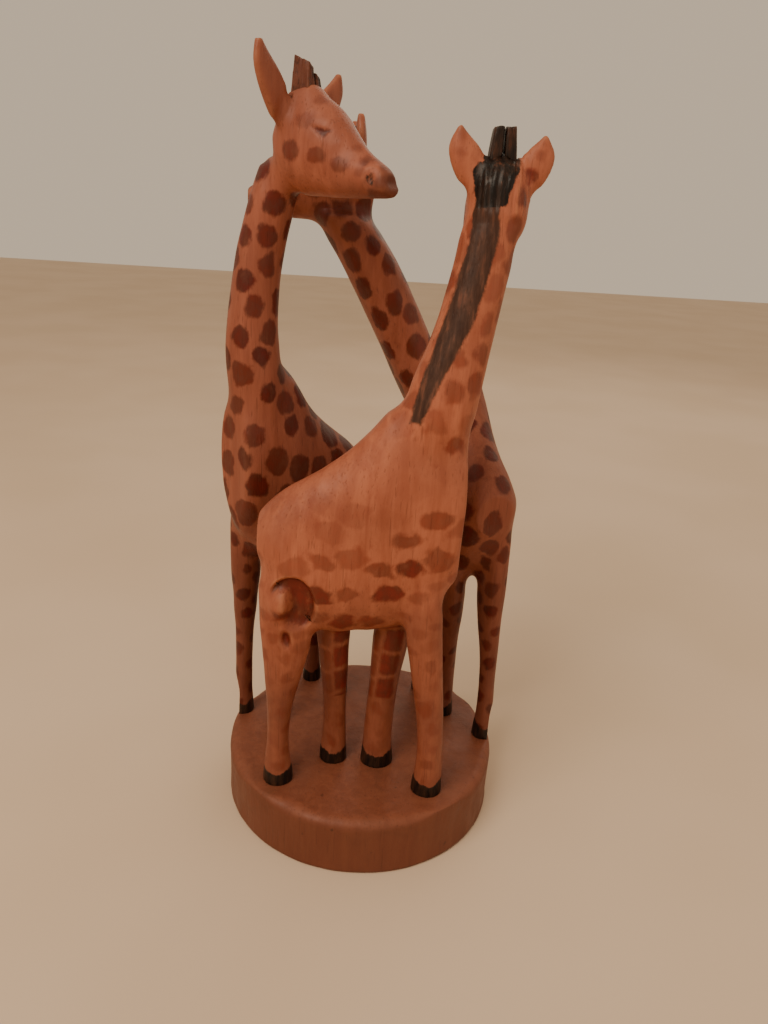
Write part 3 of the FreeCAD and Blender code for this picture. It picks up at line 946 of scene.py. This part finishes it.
class Nodes:
    """Short ways to add and join shader nodes."""

    def __init__(self, name):
        self.material = bpy.data.materials.new(name)
        self.material.use_nodes = True
        self.tree = self.material.node_tree
        self.surface = self.tree.nodes["Principled BSDF"]

    def add(self, kind, inputs=None, **settings):
        node = self.tree.nodes.new(f"ShaderNode{kind}")
        for key, value in settings.items():
            setattr(node, key, value)
        for key, value in (inputs or {}).items():
            if isinstance(value, bpy.types.NodeSocket):
                self.tree.links.new(value, node.inputs[key])
            else:
                node.inputs[key].default_value = value
        return node

    def noise(self, vector, scale, detail=4, rough=0.55, distortion=0.0):
        inputs = {"Vector": vector, "Scale": scale, "Detail": detail, "Roughness": rough,
                  "Distortion": distortion}
        return self.add("TexNoise", inputs).outputs["Fac"]

    def stretched(self, scale):
        place = self.add("TexCoord").outputs["Object"]
        return self.add("Mapping", {"Vector": place, "Scale": scale}).outputs["Vector"]

    def span(self, value, low, high, to_low=0.0, to_high=1.0):
        inputs = {"Value": value, "From Min": low, "From Max": high, "To Min": to_low, "To Max": to_high}
        return self.add("MapRange", inputs, interpolation_type="SMOOTHSTEP").outputs["Result"]

    def sum(self, operation, first, second):
        return self.add("Math", {0: first, 1: second}, operation=operation).outputs[0]

    def mix(self, share, first, second, blend="MIX"):
        node = self.add("Mix", {"Factor": share}, data_type="RGBA", blend_type=blend)
        for socket, value in ((node.inputs[6], first), (node.inputs[7], second)):
            if isinstance(value, bpy.types.NodeSocket):
                self.tree.links.new(value, socket)
            else:
                socket.default_value = (*value, 1)
        return node.outputs[2]

    def mark(self, name):
        return self.add("Attribute", attribute_name=name, attribute_type="GEOMETRY").outputs["Fac"]

    def bump(self, height, distance, normal=None):
        inputs = {"Height": height, "Distance": distance, "Strength": 1.0}
        if normal is not None:
            inputs["Normal"] = normal
        return self.add("Bump", inputs).outputs["Normal"]


def bare_wood(nodes, light, dark, grey):
    """Close-grained stained wood: upright streaks, clouds of stain and fine pores."""
    streaks = nodes.noise(nodes.stretched((1, 1, 0.10)), 240, 5, 0.6, 0.6)
    clouds = nodes.noise(nodes.stretched((1, 1, 0.6)), 34, 4, 0.6, 0.4)
    pores = nodes.noise(nodes.stretched((1, 1, 0.035)), 1500, 2, 0.5)
    colour = nodes.mix(nodes.span(streaks, 0.30, 0.72), dark, light)
    colour = nodes.mix(nodes.span(clouds, 0.40, 0.75, 0, 0.55), colour, grey)
    colour = nodes.mix(nodes.span(pores, 0.60, 0.74, 0, 0.35), colour, tuple(0.35 * c for c in dark))
    return colour, streaks, pores


def finish_wood(nodes, colour, streaks, pores, paint, low_rough, high_rough):
    """Satin wax over grain relief; paint shines a little more."""
    wax = nodes.noise(nodes.stretched((1, 1, 0.5)), 90, 3, 0.6)
    rough = nodes.span(wax, 0.3, 0.7, low_rough, high_rough)
    if paint is not None:
        rough = nodes.sum("SUBTRACT", rough, nodes.sum("MULTIPLY", paint, 0.07))
    height = nodes.sum("MULTIPLY", streaks, 0.5)
    height = nodes.sum("SUBTRACT", height, nodes.span(pores, 0.58, 0.75, 0, 0.5))
    normal = nodes.bump(height, 0.00016)
    tool = nodes.noise(nodes.stretched((1, 1, 0.5)), 330, 2, 0.5)
    normal = nodes.bump(tool, 0.00022, normal)
    links = nodes.tree.links
    links.new(colour, nodes.surface.inputs["Base Color"])
    links.new(rough, nodes.surface.inputs["Roughness"])
    links.new(normal, nodes.surface.inputs["Normal"])
    nodes.surface.inputs["Specular IOR Level"].default_value = 0.22
    nodes.surface.inputs["Coat Weight"].default_value = 0.05
    nodes.surface.inputs["Coat Roughness"].default_value = 0.35
    return nodes.material


def painted_wood(name, wood, wear=0.30, soft=0.7, dabs=RED_DABS):
    """Bare wood under dabbed red-brown spots and ragged black paint, from the point marks."""
    nodes = Nodes(name)
    colour, streaks, pores = bare_wood(nodes, *wood)
    crease = nodes.mark("crease")
    # Painted shade darkens the hollows and creases; the ridges are made lighter.
    colour = nodes.mix(nodes.span(crease, 0.12, 0.9, 0, 0.75), colour, (0.085, 0.026, 0.014))
    colour = nodes.mix(nodes.span(crease, -0.15, -0.8, 0, 0.30), colour, (0.66, 0.30, 0.155))
    edge = nodes.noise(nodes.stretched((1, 1, 0.6)), 620, 4, 0.65)
    edge = nodes.span(edge, 0.2, 0.8, -0.5, 0.5)
    blot = nodes.noise(nodes.stretched((1, 1, 0.7)), 210, 4, 0.6)
    # The muzzle smear, patchy dirt and painted shade darken the colour here.
    smoke = nodes.sum("MULTIPLY", nodes.mark("smoke"), nodes.span(blot, 0.2, 0.8, 0.75, 1.0))
    colour = nodes.mix(smoke, colour, (0.110, 0.029, 0.0165))
    spot = nodes.span(nodes.sum("ADD", nodes.mark("spot"), edge), 0.15 - soft, 0.15 + soft)
    strength = nodes.sum("MULTIPLY", spot, nodes.mark("spot_tone"))
    strength = nodes.sum("MULTIPLY", strength, nodes.span(blot, 0.25, 0.62, 0.70, 1.0))
    dab = nodes.mix(nodes.span(blot, 0.34, 0.68), *dabs)
    colour = nodes.mix(strength, colour, dab)
    streak = nodes.noise(nodes.stretched((1, 1, 0.1)), 520, 4, 0.6)
    mane = nodes.span(nodes.sum("ADD", nodes.mark("mane"), edge), -0.5, 0.9)
    mane = nodes.sum("MULTIPLY", mane, nodes.span(streak, 0.76, 0.50, 0.75, 0.97))
    hair = nodes.mix(nodes.span(streak, 0.3, 0.7), (0.030, 0.013, 0.009), (0.070, 0.034, 0.023))
    colour = nodes.mix(mane, colour, hair)
    black = nodes.span(nodes.sum("ADD", nodes.mark("black"), edge), -0.30, 0.50)
    worn = nodes.noise(nodes.stretched((1, 1, 0.14)), 420, 4, 0.7)
    black = nodes.sum("MULTIPLY", black, nodes.span(worn, 0.70, 0.54, 1.0 - wear, 1.0))
    soot = nodes.mix(nodes.span(worn, 0.35, 0.65), (0.006, 0.0035, 0.003), (0.032, 0.014, 0.008))
    colour = nodes.mix(black, colour, soot)
    paint = nodes.sum("MAXIMUM", strength, nodes.sum("MAXIMUM", mane, black))
    return finish_wood(nodes, colour, streaks, pores, paint, 0.40, 0.56)


def base_wood():
    """The base's plain wood, browner, with dark stains and flecks, and painted shade on its rim and
    side.
    """
    nodes = Nodes("base_wood")
    colour, streaks, pores = bare_wood(nodes, *BASE_WOOD)
    stain = nodes.noise(nodes.stretched((1, 1, 1)), 42, 6, 0.68, 0.8)
    colour = nodes.mix(nodes.span(stain, 0.50, 0.78, 0, 0.6), colour, (0.12, 0.042, 0.022))
    # Painted shade: the rim and side, which turn away from the light above, are darker than the top.
    upward = nodes.add("SeparateXYZ", {0: nodes.add("NewGeometry").outputs["Normal"]}).outputs["Z"]
    colour = nodes.mix(nodes.span(upward, 0.9, 0.3, 0, 0.5), colour, (0.115, 0.034, 0.018))
    fleck = nodes.noise(nodes.stretched((1, 1, 1)), 260, 2, 0.5)
    colour = nodes.mix(nodes.span(fleck, 0.70, 0.78, 0, 0.55), colour, (0.04, 0.018, 0.011))
    return finish_wood(nodes, colour, streaks, pores, None, 0.44, 0.60)


# ---------------------------------------------------------------- build the pieces

hoof_material = painted_wood("hoof_paint", HOOF_WOOD, wear=0.15)
horn_material = painted_wood("horn_paint", HORN_WOOD, wear=0.45)
skin_materials = {
    "front": painted_wood("spotted_wood_front", PALE_WOOD, soft=1.1, dabs=FADED_DABS),
    "left": painted_wood("spotted_wood_left", SHADED_RED_WOOD),
    "right": painted_wood("spotted_wood_right", SHADED_RED_WOOD),
}


def dress(piece, node, material):
    """The piece stands for its CAD node, rides the one body and takes its finish."""
    piece.data.materials.append(material)
    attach(piece, "root")
    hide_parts(node)


for number, giraffe in enumerate(GIRAFFES):
    first_seed = 100 * (number + 1)
    for node, piece in split_skin(make_skin(giraffe, first_seed)).items():
        if node.endswith("_hoof"):
            dress(piece, node, hoof_material)
        else:
            dress(piece, node, skin_materials[giraffe])
    for side in SIDES:
        horn = make_horn(giraffe, side, first_seed + 50 + SIDES[side])
        dress(horn, f"{giraffe}_{side}_horn", horn_material)
dress(make_base(), "base", base_wood())


# ---------------------------------------------------------------- stage, light and camera

def make_floor():
    mesh = bpy.data.meshes.new("floor")
    mesh.from_pydata([(-3, -3, 0), (3, -3, 0), (3, 3, 0), (-3, 3, 0)], [], [(0, 1, 2, 3)])
    floor = bpy.data.objects.new("floor", mesh)
    bpy.context.scene.collection.objects.link(floor)
    nodes = Nodes("pale_floor")
    tint = nodes.noise(nodes.stretched((1, 1, 1)), 6, 2, 0.5)
    colour = nodes.mix(nodes.span(tint, 0.3, 0.7), (0.66, 0.50, 0.36), (0.70, 0.54, 0.40))
    nodes.tree.links.new(colour, nodes.surface.inputs["Base Color"])
    nodes.surface.inputs["Roughness"].default_value = 0.8
    mesh.materials.append(nodes.material)


def make_light(name, place, aim, size, power, colour):
    lamp = bpy.data.lights.new(name, "AREA")
    lamp.size = size
    lamp.energy = power
    lamp.color = colour
    thing = bpy.data.objects.new(name, lamp)
    bpy.context.scene.collection.objects.link(thing)
    thing.location = place
    towards = np.array(aim) - np.array(place)
    thing.rotation_euler = Euler((math.atan2(math.hypot(*towards[:2]), -towards[2]), 0,
                                  math.atan2(-towards[0], towards[1])))


def make_camera():
    """Close in front and a little above, tipped down, as a hand would hold it."""
    lens = bpy.data.cameras.new("camera")
    lens.lens = 27.07
    lens.sensor_width = 36
    lens.clip_start = 0.01
    camera = bpy.data.objects.new("camera", lens)
    camera.location = (0, -0.2968, 0.2483)
    tip, turn, roll = math.radians(90 - 21.03), math.radians(-0.86), math.radians(3.49)
    turned = Euler((tip, 0, turn)).to_matrix() @ Euler((0, 0, roll)).to_matrix()
    camera.rotation_euler = turned.to_euler()
    bpy.context.scene.collection.objects.link(camera)
    bpy.context.scene.camera = camera


def make_world():
    world = bpy.data.worlds.new("studio")
    bpy.context.scene.world = world
    world.use_nodes = True
    background = world.node_tree.nodes["Background"]
    background.inputs["Color"].default_value = (1.0, 0.80, 0.58, 1)
    background.inputs["Strength"].default_value = 0.62


make_floor()
make_world()
middle = (0, 0, 0.15)
make_light("key", (-0.40, -0.55, 0.85), middle, 0.5, 6, (1.0, 0.86, 0.68))
make_light("fill", (0.95, -0.55, 0.45), middle, 1.0, 1.4, (1.0, 0.88, 0.72))
make_light("rim", (0.35, 0.9, 0.8), middle, 0.8, 2.2, (1.0, 0.88, 0.72))
make_camera()
